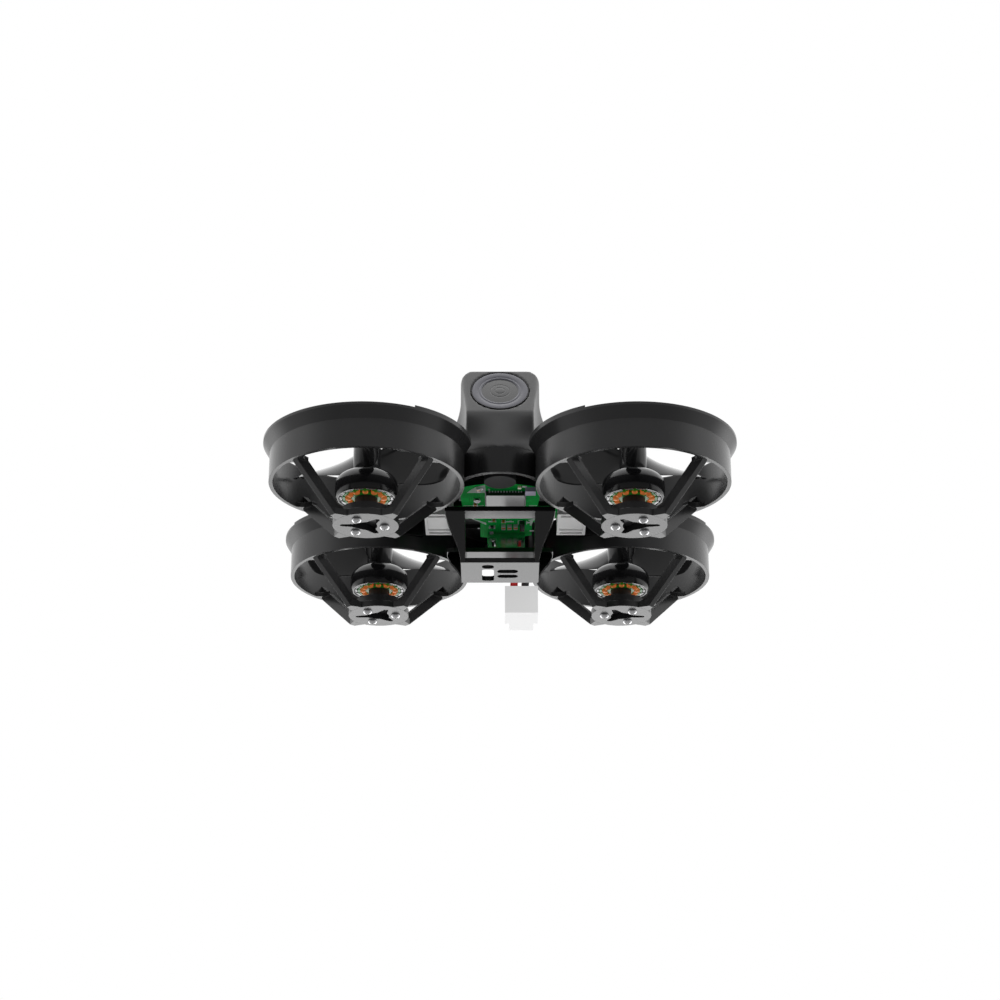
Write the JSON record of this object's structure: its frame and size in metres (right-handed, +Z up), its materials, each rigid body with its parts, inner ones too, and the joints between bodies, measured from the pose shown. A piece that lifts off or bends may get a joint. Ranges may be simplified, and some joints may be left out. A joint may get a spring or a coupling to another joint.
{
  "type": "ducted quadcopter with flight controller board",
  "caption": "Small ducted quadcopter with an exposed flight controller board, tilted camera in a canopy, battery cradle and a short battery lead.",
  "frame": {"origin": "middle of the square of motor axes, on the plane that the screw heads under the motors rest on", "axes": "-Y is the way the drone faces, +X to the right for a viewer who faces it, +Z up along the motor shafts"},
  "size_m": [0.0832, 0.0832, 0.0335],
  "materials": {
    "gloss_black": "glossy moulded",
    "canopy_black": "satin moulded",
    "steel": "plated",
    "rubber": "matt",
    "circuit_board": "solder mask",
    "chip_black": "moulded epoxy",
    "capacitor": "satin",
    "led": "clear",
    "white_nylon": "satin moulded",
    "camera_black": "satin",
    "lens_glass": "coated",
    "motor_base": "anodised",
    "laminations": "coated",
    "insulator_green": "epoxy",
    "copper": "enamelled wire",
    "bell_black": "glossy anodised",
    "magnet": "nickel plated",
    "blade_black": "glossy black, polished",
    "silicone_red": "soft",
    "silicone_black": "soft"
  },
  "bodies": {
    "airframe": {"frame_body": "gloss_black", "battery_cradle": "gloss_black", "duct_struts": "gloss_black", "motor_mounts": "gloss_black", "duct_front_left": "gloss_black", "duct_front_right": "gloss_black", "duct_rear_left": "gloss_black", "duct_rear_right": "gloss_black", "canopy": "canopy_black", "canopy_screws": "steel", "motor_screws": "steel", "motor_bearings": "steel", "crystal_can": "steel", "usb_shell": "steel", "motor_socket_pins": "steel", "boot_switch_housing": "steel", "plug_contacts": "steel", "board_grommets": "rubber", "flight_board": "circuit_board", "camera_board": "circuit_board", "processor_chip": "chip_black", "gyro_chip": "chip_black", "speed_controller_mosfets": "chip_black", "chip_resistors": "chip_black", "regulator_chip": "chip_black", "usb_tongue": "chip_black", "ceramic_capacitors": "capacitor", "status_led": "led", "motor_socket_left": "white_nylon", "motor_socket_right": "white_nylon", "battery_plug": "white_nylon", "camera_body": "camera_black", "lens_barrel": "camera_black", "lens_bezel": "camera_black", "lens_glass": "lens_glass", "motor_bases": "motor_base", "motor_stators": "laminations", "stator_insulators": "insulator_green", "stator_windings": "copper", "wire_red": "silicone_red", "wire_black": "silicone_black"},
    "rotor_front_left": {"bell_front_left": "bell_black", "magnets_front_left": "magnet", "shaft_front_left": "steel", "propeller_front_left": "blade_black"},
    "rotor_front_right": {"bell_front_right": "bell_black", "magnets_front_right": "magnet", "shaft_front_right": "steel", "propeller_front_right": "blade_black"},
    "rotor_rear_left": {"bell_rear_left": "bell_black", "magnets_rear_left": "magnet", "shaft_rear_left": "steel", "propeller_rear_left": "blade_black"},
    "rotor_rear_right": {"bell_rear_right": "bell_black", "magnets_rear_right": "magnet", "shaft_rear_right": "steel", "propeller_rear_right": "blade_black"},
    "boot_button_cap": {"boot_button": "chip_black"}
  },
  "joints": [
    {"name": "spin_front_left", "type": "hinge", "parent": "airframe", "child": "rotor_front_left", "pos_m": [-0.02335, -0.02335, 0.00565], "axis": [0, 0, -1], "continuous": true},
    {"name": "spin_front_right", "type": "hinge", "parent": "airframe", "child": "rotor_front_right", "pos_m": [0.02335, -0.02335, 0.00565], "axis": [0, 0, 1], "continuous": true},
    {"name": "spin_rear_left", "type": "hinge", "parent": "airframe", "child": "rotor_rear_left", "pos_m": [-0.02335, 0.02335, 0.00565], "axis": [0, 0, 1], "continuous": true},
    {"name": "spin_rear_right", "type": "hinge", "parent": "airframe", "child": "rotor_rear_right", "pos_m": [0.02335, 0.02335, 0.00565], "axis": [0, 0, -1], "continuous": true},
    {"name": "boot_button_press", "type": "slide", "parent": "airframe", "child": "boot_button_cap", "axis": [0, 0, 1], "range_m": [0, 0.00025]}
  ]
}
